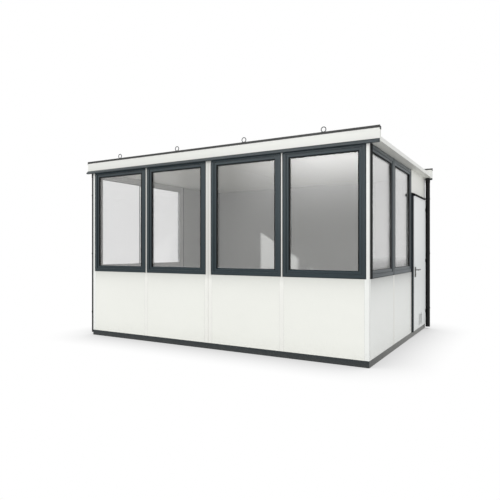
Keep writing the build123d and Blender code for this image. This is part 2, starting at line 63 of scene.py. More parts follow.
def hexColour(text):
    channels = [int(text[i:i + 2], 16) / 255 for i in (0, 2, 4)]
    linear = [c / 12.92 if c <= 0.04045 else ((c + 0.055) / 1.055) ** 2.4 for c in channels]
    return (*linear, 1.0)


def darker(colour, factor):
    return tuple(min(c * factor, 1.0) for c in colour[:3]) + (1.0,)


def addNode(tree, kind, settings=None, values=None, links=None):
    # one node with its settings, its plain values and what feeds it
    node = tree.nodes.new(kind)
    for key, value in (settings or {}).items():
        setattr(node, key, value)
    for key, value in (values or {}).items():
        node.inputs[key].default_value = value
    for key, source in (links or {}).items():
        tree.links.new(source, node.inputs[key])
    return node


def newMaterial(name):
    material = bpy.data.materials.new(name)
    material.use_nodes = True
    tree = material.node_tree
    tree.nodes.clear()
    output = addNode(tree, "ShaderNodeOutputMaterial")
    place = addNode(tree, "ShaderNodeTexCoord").outputs["Object"]
    return material, tree, output, place


# Sizes in the powder coat, in metres, and how far each effect reaches
coatGrain = {
    "dustSize": 0.06, "smearSize": 0.03, "peelSize": 0.005, "peelDepth": 0.0004,
    "dustColour": "9A9384", "upperReach": 0.14, "grazeFrom": 0.69, "grazeTo": 0.89,
}


def paintedSheet(name, colour, look):
    # Powder coat on steel or aluminium: satin, a faint orange peel, slow shifts of tone
    # over a panel, some dust near the ground, and painted shade under a ledge
    material, tree, output, place = newMaterial(name)
    base = hexColour(colour)
    slow = addNode(
        tree, "ShaderNodeTexNoise", {}, {"Scale": 1 / look["toneSize"], "Detail": 3.0},
        {"Vector": place},
    )
    slowRamp = addNode(
        tree, "ShaderNodeMapRange", {}, {"From Min": 0.35, "From Max": 0.7},
        {"Value": slow.outputs["Fac"]},
    )
    tone = addNode(
        tree, "ShaderNodeMix", {"data_type": "RGBA"},
        {6: base, 7: darker(base, look["toneDrop"])}, {0: slowRamp.outputs["Result"]},
    )
    axes = addNode(tree, "ShaderNodeSeparateXYZ", {}, {}, {"Vector": place})
    dustNoise = addNode(
        tree, "ShaderNodeTexNoise", {},
        {"Scale": 1 / coatGrain["dustSize"], "Detail": 6.0, "Roughness": 0.65}, {"Vector": place},
    )
    dustFade = addNode(
        tree, "ShaderNodeMapRange", {"interpolation_type": "SMOOTHSTEP"},
        {"From Min": look["dustTop"], "From Max": 0.0, "To Max": look["dust"]},
        {"Value": axes.outputs["Z"]},
    )
    dustAmount = addNode(
        tree, "ShaderNodeMath", {"operation": "MULTIPLY"}, {},
        {0: dustFade.outputs["Result"], 1: dustNoise.outputs["Fac"]},
    )
    coat = addNode(
        tree, "ShaderNodeMix", {"data_type": "RGBA"}, {7: hexColour(coatGrain["dustColour"])},
        {0: dustAmount.outputs["Value"], 6: tone.outputs[2]},
    ).outputs[2]
    if "paintedShadeLevel" in look:
        # painted shade under the ledge: darkest just below it, fading with the distance down,
        # broken up by noise
        below = addNode(
            tree, "ShaderNodeMath", {"operation": "SUBTRACT"}, {1: look["paintedShadeLevel"]},
            {0: axes.outputs["Z"]},
        )
        ratio = addNode(
            tree, "ShaderNodeMath", {"operation": "DIVIDE"}, {1: look["paintedShadeReach"]},
            {0: below.outputs["Value"]},
        )
        fade = addNode(
            tree, "ShaderNodeMath", {"operation": "EXPONENT"}, {}, {0: ratio.outputs["Value"]},
        )
        limited = addNode(
            tree, "ShaderNodeMath", {"operation": "MINIMUM"}, {1: 1.0}, {0: fade.outputs["Value"]},
        )
        paintedShadeNoise = addNode(
            tree, "ShaderNodeMapRange", {}, {"To Min": 0.85, "To Max": 1.15},
            {"Value": dustNoise.outputs["Fac"]},
        )
        paintedShade = addNode(
            tree, "ShaderNodeMath", {"operation": "MULTIPLY"}, {},
            {0: limited.outputs["Value"], 1: paintedShadeNoise.outputs["Result"]},
        )
        coat = addNode(
            tree, "ShaderNodeMix", {"data_type": "RGBA"}, {7: darker(base, look["paintedShadeTone"])},
            {0: paintedShade.outputs["Value"], 6: coat},
        ).outputs[2]
    if "upperPaintedShade" in look:
        # painted shade: the narrow faces between dark frames are darker than the open wall
        upper = addNode(
            tree, "ShaderNodeMapRange", {"interpolation_type": "SMOOTHSTEP"},
            {
                "From Min": look["upperFrom"],
                "From Max": look["upperFrom"] + coatGrain["upperReach"],
            },
            {"Value": axes.outputs["Z"]},
        )
        coat = addNode(
            tree, "ShaderNodeMix", {"data_type": "RGBA"}, {7: darker(base, look["upperPaintedShade"])},
            {0: upper.outputs["Result"], 6: coat},
        ).outputs[2]
    if "paintedSheenColour" in look:
        # painted sheen: the colour goes pale where the eye skims along the surface
        skim = addNode(tree, "ShaderNodeLayerWeight", {}, {"Blend": 0.5})
        skimAmount = addNode(
            tree, "ShaderNodeMapRange", {},
            {"From Min": coatGrain["grazeFrom"], "From Max": coatGrain["grazeTo"]},
            {"Value": skim.outputs["Facing"]},
        )
        coat = addNode(
            tree, "ShaderNodeMix", {"data_type": "RGBA"}, {7: hexColour(look["paintedSheenColour"])},
            {0: skimAmount.outputs["Result"], 6: coat},
        ).outputs[2]
    if "insideColour" in look:
        # the part towards the room takes the inside colour, so the mask follows the depth behind
        # the outer face of each wall: a real two-tone coat on the frames, painted shade on the wall
        # panels
        within = []
        for axis, limit in (("X", halfLength - coatSplit), ("Y", halfDepth - coatSplit)):
            distance = addNode(
                tree, "ShaderNodeMath", {"operation": "ABSOLUTE"}, {}, {0: axes.outputs[axis]},
            )
            within.append(addNode(
                tree, "ShaderNodeMath", {"operation": "LESS_THAN"}, {1: limit},
                {0: distance.outputs["Value"]},
            ))
        inside = addNode(
            tree, "ShaderNodeMath", {"operation": "MULTIPLY"}, {},
            {0: within[0].outputs["Value"], 1: within[1].outputs["Value"]},
        )
        coat = addNode(
            tree, "ShaderNodeMix", {"data_type": "RGBA"}, {7: hexColour(look["insideColour"])},
            {0: inside.outputs["Value"], 6: coat},
        ).outputs[2]
    roughNoise = addNode(
        tree, "ShaderNodeTexNoise", {}, {"Scale": 1 / coatGrain["smearSize"], "Detail": 4.0},
        {"Vector": place},
    )
    rough = addNode(
        tree, "ShaderNodeMapRange", {},
        {"To Min": look["roughness"] - 0.04, "To Max": look["roughness"] + 0.06},
        {"Value": roughNoise.outputs["Fac"]},
    )
    # orange peel is about 2 mm across; drawn at 5 mm so that it shows
    peel = addNode(
        tree, "ShaderNodeTexNoise", {}, {"Scale": 1 / coatGrain["peelSize"], "Detail": 2.0},
        {"Vector": place},
    )
    bump = addNode(
        tree, "ShaderNodeBump", {},
        {"Strength": look["peel"], "Distance": coatGrain["peelDepth"]},
        {"Height": peel.outputs["Fac"]},
    )
    shader = addNode(
        tree, "ShaderNodeBsdfPrincipled", {},
        {"Metallic": 0.0, "IOR": 1.5, "Specular IOR Level": look["gloss"]},
        {
            "Base Color": coat, "Roughness": rough.outputs["Result"],
            "Normal": bump.outputs["Normal"],
        },
    )
    tree.links.new(shader.outputs["BSDF"], output.inputs["Surface"])
    return material


sheetLook = {
    "toneDrop": 0.985, "toneSize": 0.9, "dust": 0.14, "dustTop": 0.30, "roughness": 0.42,
    "peel": 0.25, "gloss": 0.5,
}
# the room side of these panels is a darker grey than their outer face: painted shade for the dimmer
# room
roomLook = dict(sheetLook, insideColour="BFC0BE")
# painted shade under the sill ledge on the lower panels; on the right wall it is deeper
lowerLook = dict(roomLook, paintedShadeLevel=sillLevel, paintedShadeReach=0.095, paintedShadeTone=0.74)
sideLowerLook = dict(lowerLook, paintedShadeTone=0.52)
# painted shade on the posts above the sill, between the dark frames
postLook = dict(roomLook, upperPaintedShade=0.74, upperFrom=0.84)
cornerLook = dict(roomLook, upperPaintedShade=0.90, upperFrom=0.84)
trimLook = {
    "toneDrop": 0.9, "toneSize": 0.5, "dust": 0.12, "dustTop": 0.10, "roughness": 0.45,
    "peel": 0.3, "gloss": 0.3,
}
# the frames take a painted sheen at grazing angles; their room side is a real two-tone white
frameLook = dict(trimLook, dust=0.05, dustTop=0.30, paintedSheenColour="888D90", insideColour="D2D2D0")
panelWhite = paintedSheet("panel_white_coated_steel", "E9EAE4", roomLook)
lowerWhite = paintedSheet("lower_panel_white_coated_steel", "E9EAE4", lowerLook)
# the right wall's lower panels are a paler, cooler white: painted light for the cool light on that
# side
sideLowerLitAndShaded = paintedSheet("side_lower_panel_white_coated_steel", "EDEFEC", sideLowerLook)
postWhite = paintedSheet("post_white_coated_steel", "E9E9E4", postLook)
cornerWhite = paintedSheet("corner_post_white_coated_steel", "E9EBE8", cornerLook)
fasciaWhite = paintedSheet("fascia_white_coated_steel", "DBDCD7", sheetLook)
edgeWhite = paintedSheet("roof_edge_white_coated_steel", "E4E5E1", sheetLook)
doorWhite = paintedSheet("door_white_coated_steel", "E6E9E8", roomLook)
slabWhite = paintedSheet(
    "ceiling_white_coated_steel", "DCDCD6", dict(roomLook, insideColour="F4F3EC"),
)
frameGrey = paintedSheet("frame_anthracite_coated_profile", "15272D", frameLook)
trimGrey = paintedSheet("trim_anthracite_coated_steel", "20282C", trimLook)
# painted sheen at grazing angles on the base as well
baseGrey = paintedSheet(
    "base_anthracite_coated_steel", "20282C", dict(trimLook, paintedSheenColour="959590"),
)
stripGrey = paintedSheet("strip_grey_coated_steel", "30393D", trimLook)
railBlack = paintedSheet(
    "rail_black_coated_steel", "060809", dict(trimLook, gloss=0.06, roughness=0.6),
)
# the hinge jamb is a darker white: painted shade from the downpipe beside it
jambShadedWhite = paintedSheet("jamb_white_coated_steel", "D0D2D1", roomLook)
capGrey = paintedSheet("cap_dark_coated_steel", "181917", trimLook)
sheetGrey = paintedSheet("roof_sheet_coated_steel", "B9BAB5", sheetLook)
grilleGrey = paintedSheet("grille_coated_aluminium", "D3D6D5", sheetLook)


def floatGlass(name, tint):
    # Float glass: clear and sharp in reflection; lamps and daylight pass it
    material, tree, output, place = newMaterial(name)
    rippleSize = 0.7
    ripple = addNode(
        tree, "ShaderNodeTexNoise", {}, {"Scale": 1 / rippleSize, "Detail": 1.0}, {"Vector": place},
    )
    bump = addNode(
        tree, "ShaderNodeBump", {}, {"Strength": 0.01, "Distance": 0.001},
        {"Height": ripple.outputs["Fac"]},
    )
    glass = addNode(
        tree, "ShaderNodeBsdfPrincipled", {},
        {
            "Base Color": hexColour(tint), "Roughness": 0.0, "IOR": 1.52,
            "Transmission Weight": 1.0,
        },
        {"Normal": bump.outputs["Normal"]},
    )
    through = addNode(tree, "ShaderNodeBsdfTransparent", {}, {"Color": hexColour(tint)})
    path = addNode(tree, "ShaderNodeLightPath")
    lets = addNode(
        tree, "ShaderNodeMath", {"operation": "MAXIMUM"}, {},
        {0: path.outputs["Is Shadow Ray"], 1: path.outputs["Is Diffuse Ray"]},
    )
    mix = addNode(
        tree, "ShaderNodeMixShader", {}, {},
        {0: lets.outputs["Value"], 1: glass.outputs["BSDF"], 2: through.outputs["BSDF"]},
    )
    tree.links.new(mix.outputs["Shader"], output.inputs["Surface"])
    return material


windowGlass = floatGlass("window_float_glass", "F9F9F9")


def mouldedPlastic(name, colour, look):
    # Extruded PVC, rubber or sheet vinyl: dull, cloudy in tone, with a very fine grain
    material, tree, output, place = newMaterial(name)
    base = hexColour(colour)
    cloudSize = 0.12
    cloud = addNode(
        tree, "ShaderNodeTexNoise", {}, {"Scale": 1 / cloudSize, "Detail": 5.0}, {"Vector": place},
    )
    tone = addNode(
        tree, "ShaderNodeMix", {"data_type": "RGBA"}, {6: base, 7: darker(base, look["worn"])},
        {0: cloud.outputs["Fac"]},
    )
    fine = addNode(
        tree, "ShaderNodeTexNoise", {}, {"Scale": 1 / look["grain"], "Detail": 2.0},
        {"Vector": place},
    )
    bump = addNode(
        tree, "ShaderNodeBump", {}, {"Strength": 0.2, "Distance": 0.0003},
        {"Height": fine.outputs["Fac"]},
    )
    shader = addNode(
        tree, "ShaderNodeBsdfPrincipled", {},
        {"Roughness": look["roughness"], "IOR": 1.5, "Specular IOR Level": look["gloss"]},
        {"Base Color": tone.outputs[2], "Normal": bump.outputs["Normal"]},
    )
    tree.links.new(shader.outputs["BSDF"], output.inputs["Surface"])
    return material


pipeBlack = mouldedPlastic(
    "pipe_extruded_black_pvc", "070808",
    {"worn": 1.8, "roughness": 0.5, "grain": 0.004, "gloss": 0.25},
)
sealBlack = mouldedPlastic(
    "seal_extruded_epdm_rubber", "0B0C0D",
    {"worn": 1.5, "roughness": 0.7, "grain": 0.002, "gloss": 0.3},
)
sealantGrey = mouldedPlastic(
    "joint_silicone_sealant", "B4B6B2",
    {"worn": 0.9, "roughness": 0.6, "grain": 0.002, "gloss": 0.4},
)
floorVinyl = mouldedPlastic(
    "floor_sheet_vinyl", "BEBEBA",
    {"worn": 0.85, "roughness": 0.5, "grain": 0.003, "gloss": 0.5},
)


def bareMetal(name, colour, look):
    # Steel or aluminium with drawn, brushed or dipped streaks
    material, tree, output, place = newMaterial(name)
    base = hexColour(colour)
    stretch = addNode(tree, "ShaderNodeMapping", {}, {"Scale": look["streak"]}, {"Vector": place})
    lines = addNode(
        tree, "ShaderNodeTexNoise", {}, {"Scale": 1.0, "Detail": 4.0},
        {"Vector": stretch.outputs["Vector"]},
    )
    tone = addNode(
        tree, "ShaderNodeMix", {"data_type": "RGBA"}, {6: base, 7: darker(base, 0.8)},
        {0: lines.outputs["Fac"]},
    )
    rough = addNode(
        tree, "ShaderNodeMapRange", {},
        {"To Min": look["roughness"] - 0.06, "To Max": look["roughness"] + 0.1},
        {"Value": lines.outputs["Fac"]},
    )
    bump = addNode(
        tree, "ShaderNodeBump", {}, {"Strength": 0.15, "Distance": 0.0002},
        {"Height": lines.outputs["Fac"]},
    )
    shader = addNode(
        tree, "ShaderNodeBsdfPrincipled", {}, {"Metallic": 1.0},
        {
            "Base Color": tone.outputs[2], "Roughness": rough.outputs["Result"],
            "Normal": bump.outputs["Normal"],
        },
    )
    tree.links.new(shader.outputs["BSDF"], output.inputs["Surface"])
    return material


# brushing runs up the plate, about 1 mm between lines across it
handleSteel = bareMetal(
    "handle_brushed_stainless_steel", "7E7F7C",
    {"streak": (900.0, 900.0, 40.0), "roughness": 0.34},
)
screwSteel = bareMetal(
    "screw_zinc_plated_steel", "C2C4C4",
    {"streak": (120.0, 120.0, 120.0), "roughness": 0.42},
)
# zinc spangle is 5 to 10 mm across
eyeSteel = bareMetal(
    "eye_hot_dip_galvanised_steel", "505254",
    {"streak": (140.0, 140.0, 140.0), "roughness": 0.5},
)
sillMetal = bareMetal(
    "sill_mill_finish_aluminium", "C9CACA",
    {"streak": (600.0, 20.0, 20.0), "roughness": 0.36},
)
spacerMetal = bareMetal(
    "spacer_rolled_aluminium", "D8D9D9",
    {"streak": (60.0, 60.0, 60.0), "roughness": 0.5},
)

nodeFinish = {
    lowerWhite: ["front_lower_panels", "left_lower_panels"],
    sideLowerLitAndShaded: ["right_lower_panels"],
    panelWhite: ["rear_wall_panels", "left_wall_panel", "door_header_panel"],
    cornerWhite: ["corner_post_front_left", "corner_post_front_right"],
    postWhite: ["front_centre_post", "front_mullions", "side_mullions"],
    jambShadedWhite: ["door_hinge_jamb"],
    doorWhite: [
        "door_leaf", "corner_post_rear_left", "corner_post_rear_right", "rear_centre_post",
        "rear_mullions",
    ],
    frameGrey: [
        "front_window_frame_1", "front_window_frame_2", "front_window_frame_3",
        "front_window_frame_4", "left_window_frame_1", "left_window_frame_2",
        "right_window_frame_1", "right_window_frame_2",
    ],
    baseGrey: ["base_frame"],
    trimGrey: ["door_latch_jamb"],
    stripGrey: ["side_window_strips", "drip_strips"],
    railBlack: ["door_head_rail", "door_hinge_jamb_knuckles", "door_hinge_leaf_knuckles"],
    fasciaWhite: ["fascia_front", "fascia_rear"],
    edgeWhite: ["roof_side_trims"],
    slabWhite: ["roof_slab"],
    capGrey: ["fascia_caps"],
    sheetGrey: ["roof_sheet"],
    windowGlass: ["front_window_glass", "side_window_glass"],
    grilleGrey: ["door_vent_grille"],
    handleSteel: ["door_handle_plates", "door_lever"],
    sillMetal: ["door_sill"],
    eyeSteel: ["lifting_eyes"],
    pipeBlack: ["downpipes", "downpipe_clamps"],
    floorVinyl: ["floor_deck"],
}
finished = 0
for material, names in nodeFinish.items():
    for name in names:
        finished += 1
        for part in nodes[name].material_slots:
            part.material = material
print("materials set on", finished, "of", len(nodes), "nodes")

# Each wall is drawn flat from its left end, seen from outside: x along it, y into the
# booth from the outer face, z up. These matrices stand the walls up.
wallPlace = {}
for wall, x, y, turn in (
    ("front", -halfLength, -halfDepth, 0), ("right", halfLength, -halfDepth, 90),
    ("rear", halfLength, halfDepth, 180), ("left", -halfLength, halfDepth, -90),
):
    stand = Matrix.Rotation(math.radians(turn), 4, "Z")
    wallPlace[wall] = Matrix.Translation((x, y, 0)) @ stand
addedPieces = []


def makePiece(name, mesh, body, material, smooth=False):
    # a bmesh becomes a piece that rides on its body
    bmesh.ops.recalc_face_normals(mesh, faces=mesh.faces)
    data = bpy.data.meshes.new(name)
    mesh.to_mesh(data)
    mesh.free()
    piece = bpy.data.objects.new(name, data)
    scene.collection.objects.link(piece)
    data.materials.append(material)
    if smooth:
        for face in data.polygons:
            face.use_smooth = True
    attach(piece, body)
    addedPieces.append(piece)


def addBar(mesh, wall, low, high, ease=0.0):
    # a straight bar between two corners in wall coordinates, its long edges eased
    centre = [(a + b) / 2 for a, b in zip(low, high)]
    size = [b - a for a, b in zip(low, high)]
    place = wallPlace[wall] @ Matrix.Translation(centre) @ Matrix.Diagonal((*size, 1.0))
    made = bmesh.ops.create_cube(mesh, size=1.0, matrix=place)
    if ease:
        edges = {edge for vert in made["verts"] for edge in vert.link_edges}
        bmesh.ops.bevel(
            mesh, geom=list(edges), offset=ease, segments=1, affect="EDGES", profile=0.5,
            material=-1,
        )


def addRing(mesh, wall, low, high, face, depth):
    # four closed bars round an opening, the upright ones running through
    back = low[1] + depth
    addBar(mesh, wall, low, (low[0] + face, back, high[2]))
    addBar(mesh, wall, (high[0] - face, low[1], low[2]), (high[0], back, high[2]))
    addBar(
        mesh, wall, (low[0] + face, low[1], low[2]), (high[0] - face, back, low[2] + face),
    )
    addBar(
        mesh, wall, (low[0] + face, low[1], high[2] - face), (high[0] - face, back, high[2]),
    )


def addScrew(mesh, wall, place, facing, look):
    # a low head with a sunk socket, standing on a surface that faces the given way
    spot = wallPlace[wall] @ Vector(place)
    way = (wallPlace[wall].to_3x3() @ Vector(facing)).normalized()
    turn = way.to_track_quat("Z", "Y").to_matrix().to_4x4()
    height = look["height"]
    made = bmesh.ops.create_cone(
        mesh, cap_ends=True, cap_tris=False, segments=look["sides"], radius1=look["radius"],
        radius2=look["radius"] * look["taper"], depth=height,
        matrix=Matrix.Translation(spot + way * height / 2) @ turn,
    )
    faces = {face for vert in made["verts"] for face in vert.link_faces}
    top = max(faces, key=lambda face: face.calc_center_median().dot(way))
    bmesh.ops.inset_region(mesh, faces=[top], thickness=look["radius"] * look["taper"] * 0.55)
    bmesh.ops.translate(mesh, verts=list(top.verts), vec=-way * height * 0.6)


# Glazing: each window is a sealed double unit. The outer pane is a CAD node; the spacer
# bar, the inner pane and the rubber around them are added here.
glazing = {
    "frameFace": 0.085, "paneFrom": 0.022,
    "spacerFace": 0.008, "spacerFrom": 0.028, "spacerDepth": 0.010, "innerPane": 0.004,
    "gasketFace": 0.006, "gasketShadeDepth": 0.018, "slimFace": 0.002,
    "lowFace": 0.003, "lowDepth": 0.003, "beadFace": 0.005, "beadDepth": 0.004,
}
windows = [("front", start, frontModule) for start in bayStarts]
windows += [("right", start, sideModule) for start in rightStarts]
windows += [("left", start, sideModule) for start in leftStarts]
spacers = bmesh.new()
innerPanes = bmesh.new()
gasketsAndRevealShade = bmesh.new()
innerSeals = bmesh.new()
for wall, start, width in windows:
    left = start + glazing["frameFace"]
    right = start + width - glazing["frameFace"]
    bottom = sillLevel + glazing["frameFace"]
    top = wallTop - glazing["frameFace"]
    depthIn = glazing["spacerFrom"]
    addRing(
        spacers, wall, (left, depthIn, bottom), (right, depthIn, top),
        glazing["spacerFace"], glazing["spacerDepth"],
    )
    paneFrom = depthIn + glazing["spacerDepth"]
    addBar(
        innerPanes, wall, (left, paneFrom, bottom), (right, paneFrom + glazing["innerPane"], top),
    )
    # a deep black seal lines the sides and the top of the opening, a thin one its foot; the depth
    # is painted shade, black where the reveal lies in shadow
    paneFace = glazing["paneFrom"]
    outer = paneFace - glazing["gasketShadeDepth"]
    inner = glazing["gasketFace"] if wall != "right" else glazing["slimFace"]
    addBar(gasketsAndRevealShade, wall, (left, outer, bottom), (left + inner, paneFace, top))
    addBar(gasketsAndRevealShade, wall, (right - inner, outer, bottom), (right, paneFace, top))
    addBar(gasketsAndRevealShade, wall, (left + inner, outer, top - inner), (right - inner, paneFace, top))
    addBar(
        gasketsAndRevealShade, wall, (left + inner, paneFace - glazing["lowDepth"], bottom),
        (right - inner, paneFace, bottom + glazing["lowFace"]),
    )
    sealFrom = paneFrom + glazing["innerPane"]
    addRing(
        innerSeals, wall, (left, sealFrom, bottom), (right, sealFrom, top),
        glazing["beadFace"], glazing["beadDepth"],
    )
makePiece("glazing_spacer_bars", spacers, "booth", spacerMetal)
makePiece("glazing_inner_panes", innerPanes, "booth", windowGlass)
makePiece("glazing_outer_gaskets_and_reveal_shade", gasketsAndRevealShade, "booth", sealBlack)
makePiece("glazing_inner_gaskets", innerSeals, "booth", sealBlack)
print("glazing built for", len(windows), "windows")

# Black strip over the joint between the front corner posts and the side windows: painted shade for
# the shadow in that gap
corner = {"from": 0.030, "width": 0.095, "depth": 0.002, "clear": 0.002, "ease": 0.0006}
leftFrom = 2 * halfDepth - corner["from"] - corner["width"]
cornerMesh = bmesh.new()
for wall, start in (("right", corner["from"]), ("left", leftFrom)):
    addBar(
        cornerMesh, wall, (start, -corner["depth"], sillLevel + corner["clear"]),
        (start + corner["width"], 0.0, wallTop - corner["clear"]), corner["ease"],
    )
makePiece("corner_shade_strips", cornerMesh, "booth", railBlack)

# Sealant in the grooves between panels and posts
sealant = {"width": 0.0024, "from": 0.0004, "to": 0.0018}
frontEdges = []
rearEdges = []
for start in bayStarts:
    frontEdges += [start + frameLap, start + frontModule - frameLap]
    rearEdges += [start, start + frontModule]
rightEdges = [
    rightStarts[0], rightStarts[0] + sideModule - frameLap,
    rightStarts[1] + frameLap, rightStarts[1] + sideModule - frameLap,
]
leftEdges = [2 * halfDepth - edge for edge in reversed(rightEdges)]
joints = [("front", edge, baseTop, sillLevel) for edge in frontEdges]
joints += [("right", edge, baseTop, sillLevel) for edge in rightEdges]
joints += [("left", edge, baseTop, sillLevel) for edge in leftEdges]
joints += [("left", edge, baseTop, wallTop) for edge in (wallThickness, wallThickness + doorModule)]
joints += [("rear", edge, baseTop, wallTop) for edge in rearEdges]
joints += [("right", edge, headTop, wallTop) for edge in (doorStart, doorStart + doorModule)]
jointMesh = bmesh.new()
half = sealant["width"] / 2
for wall, edge, low, high in joints:
    addBar(jointMesh, wall, (edge - half, sealant["from"], low), (edge + half, sealant["to"], high))
makePiece("panel_joint_sealant", jointMesh, "booth", sealantGrey)

# Ceiling: cover strips over the joints of the ceiling boards
ceiling = {
    "joints": (-1.03, -0.03, 0.97), "width": 0.024, "depth": 0.002, "clear": 0.002,
    "ease": 0.0008,
}
ceilingFrom = wallThickness + ceiling["clear"]
ceilingMesh = bmesh.new()
for joint in ceiling["joints"]:
    along = joint + halfLength
    addBar(
        ceilingMesh, "front",
        (along - ceiling["width"] / 2, ceilingFrom, wallTop - ceiling["depth"]),
        (along + ceiling["width"] / 2, 2 * halfDepth - ceilingFrom, wallTop), ceiling["ease"],
    )
makePiece("ceiling_joint_strips", ceilingMesh, "booth", slabWhite)

# Door furniture: screws, keyways and pin caps
door = {
    "outer": -0.026, "inner": 0.018, "spindle": 2.215, "handle": 0.964, "plate": 0.010,
    "plateRises": (0.030, -0.096), "cylinderProud": 0.005,
    "keyLow": 0.077, "keyHigh": 0.067, "keyHalf": 0.0011, "keyThick": 0.0006, "keyEase": 0.0002,
    "axis": (3.031, -0.038), "levels": (0.260, 1.060, 1.860), "knuckle": 0.048,
    "leafScrews": 3.008, "jambScrews": 3.055, "hingePlate": 0.004,
    "screwRises": (0.012, 0.036), "capRadius": 0.0055,
}
plateScrew = {"radius": 0.0042, "taper": 0.8, "height": 0.0016, "sides": 16}
doorScrews = bmesh.new()
jambScrews = bmesh.new()
keyways = bmesh.new()
hingeScrews = bmesh.new()
pinCaps = bmesh.new()
for face, way in ((door["outer"] - door["plate"], -1), (door["inner"] + door["plate"], 1)):
    for rise in door["plateRises"]:
        spot = (door["spindle"], face, door["handle"] + rise)
        addScrew(doorScrews, "right", spot, (0, way, 0), plateScrew)
    keyFace = face + way * door["cylinderProud"]
    keyOut = keyFace + way * door["keyThick"]
    addBar(
        keyways, "right",
        (door["spindle"] - door["keyHalf"], min(keyFace, keyOut), door["handle"] - door["keyLow"]),
        (door["spindle"] + door["keyHalf"], max(keyFace, keyOut), door["handle"] - door["keyHigh"]),
        door["keyEase"],
    )
for level in door["levels"]:
    for rise in door["screwRises"]:
        leafSpot = (door["leafScrews"], door["outer"] - door["hingePlate"], level + rise)
        jambSpot = (door["jambScrews"], -door["hingePlate"], level - rise)
        addScrew(hingeScrews, "right", leafSpot, (0, -1, 0), plateScrew)
        addScrew(jambScrews, "right", jambSpot, (0, -1, 0), plateScrew)
    for rise in (-door["knuckle"], door["knuckle"]):
        spot = wallPlace["right"] @ Vector((door["axis"][0], door["axis"][1], level + rise))
        bmesh.ops.create_uvsphere(
            pinCaps, u_segments=16, v_segments=8, radius=door["capRadius"],
            matrix=Matrix.Translation(spot),
        )
makePiece("door_plate_screws", doorScrews, "door", screwSteel)
makePiece("hinge_leaf_screws", hingeScrews, "door", railBlack)
makePiece("jamb_plate_screws", jambScrews, "booth", railBlack)
makePiece("lock_keyways", keyways, "door", sealBlack)
makePiece("hinge_pin_caps", pinCaps, "booth", railBlack, smooth=True)

# Rubber on the door stops, on both sides and under the head
stops = {
    "left": 2.1455, "right": 3.0275, "low": 0.082, "high": 2.0345, "face": 0.024,
    "height": 0.003, "width": 0.007, "ease": 0.001,
}
stopSeal = bmesh.new()
sealOut = stops["face"] - stops["height"]
for along in (stops["left"], stops["right"] - stops["width"]):
    addBar(
        stopSeal, "right", (along, sealOut, stops["low"]),
        (along + stops["width"], stops["face"], stops["high"]), stops["ease"],
    )
addBar(
    stopSeal, "right", (stops["left"], sealOut, stops["high"] - stops["width"]),
    (stops["right"], stops["face"], stops["high"]), stops["ease"],
)
makePiece("door_stop_seal", stopSeal, "booth", sealBlack)
print("door furniture built")

# Clamp screws: two to each foot, above and below the clamp
clamps = {"fromEnd": 0.064, "foot": 0.003, "levels": (0.330, 1.1975, 2.065), "rise": 0.021}
clampScrew = {"radius": 0.0055, "taper": 0.85, "height": 0.003, "sides": 6}
clampScrews = bmesh.new()
pipeStation = 2 * halfDepth - clamps["fromEnd"]
for wall in ("right", "left"):
    for level in clamps["levels"]:
        for rise in (-clamps["rise"], clamps["rise"]):
            spot = (pipeStation, -clamps["foot"], level + rise)
            addScrew(clampScrews, wall, spot, (0, -1, 0), clampScrew)
makePiece("clamp_foot_screws", clampScrews, "booth", screwSteel)

# Roof: self-drilling screws with washers on the rib crests, rivets along the caps,
# and a weld bead round the collar of each lifting eye
roof = {
    "ribPitch": 0.333, "ribCount": 13, "crest": 2.471, "rows": (-1.38, -0.69, 0.0, 0.69, 1.38),
    "screwLift": 0.001, "capTop": 2.551, "capSheet": 0.003, "capReach": 2.1805,
    "rivetPitch": 0.50, "rivetCount": 9, "rivetDrop": 0.010,
    "foldHeight": 0.009, "foldThick": 0.004, "foldEase": 0.0005,
    "eyeCount": 4, "eyePitch": 1.030, "eyeInset": 0.020, "collar": 0.015,
    "bead": 0.0028, "beadSides": 8, "beadSteps": 28, "beadMerge": 0.00005,
}
roofScrew = {"radius": 0.0055, "taper": 0.9, "height": 0.006, "sides": 6}
roofWasher = {"radius": 0.010, "taper": 0.8, "height": 0.002, "sides": 14}
rivet = {"radius": 0.0045, "taper": 0.6, "height": 0.002, "sides": 10}
roofMesh = bmesh.new()
for number in range(roof["ribCount"]):
    ribX = (number - (roof["ribCount"] - 1) / 2) * roof["ribPitch"]
    for row in roof["rows"]:
        base = (ribX + halfLength, row + halfDepth, roof["crest"])
        addScrew(roofMesh, "front", base, (0, 0, 1), roofWasher)
        lifted = (base[0], base[1], base[2] + roof["screwLift"])
        addScrew(roofMesh, "front", lifted, (0, 0, 1), roofScrew)
makePiece("roof_sheet_screws", roofMesh, "booth", screwSteel)
rivetMesh = bmesh.new()
for wall in ("front", "rear"):
    for number in range(roof["rivetCount"]):
        along = halfLength + (number - (roof["rivetCount"] - 1) / 2) * roof["rivetPitch"]
        spot = (along, -roof["capSheet"], roof["capTop"] - roof["rivetDrop"])
        addScrew(rivetMesh, wall, spot, (0, -1, 0), rivet)
makePiece("cap_rivets", rivetMesh, "booth", capGrey)
foldMesh = bmesh.new()
for wall in ("front", "rear"):
    foldOut = -roof["capSheet"]
    foldTop = roof["capTop"] + roof["foldHeight"]
    addBar(
        foldMesh, wall, (halfLength - roof["capReach"], foldOut, roof["capTop"]),
        (halfLength + roof["capReach"], foldOut + roof["foldThick"], foldTop), roof["foldEase"],
    )
makePiece("cap_edge_folds", foldMesh, "booth", capGrey)
weldMesh = bmesh.new()
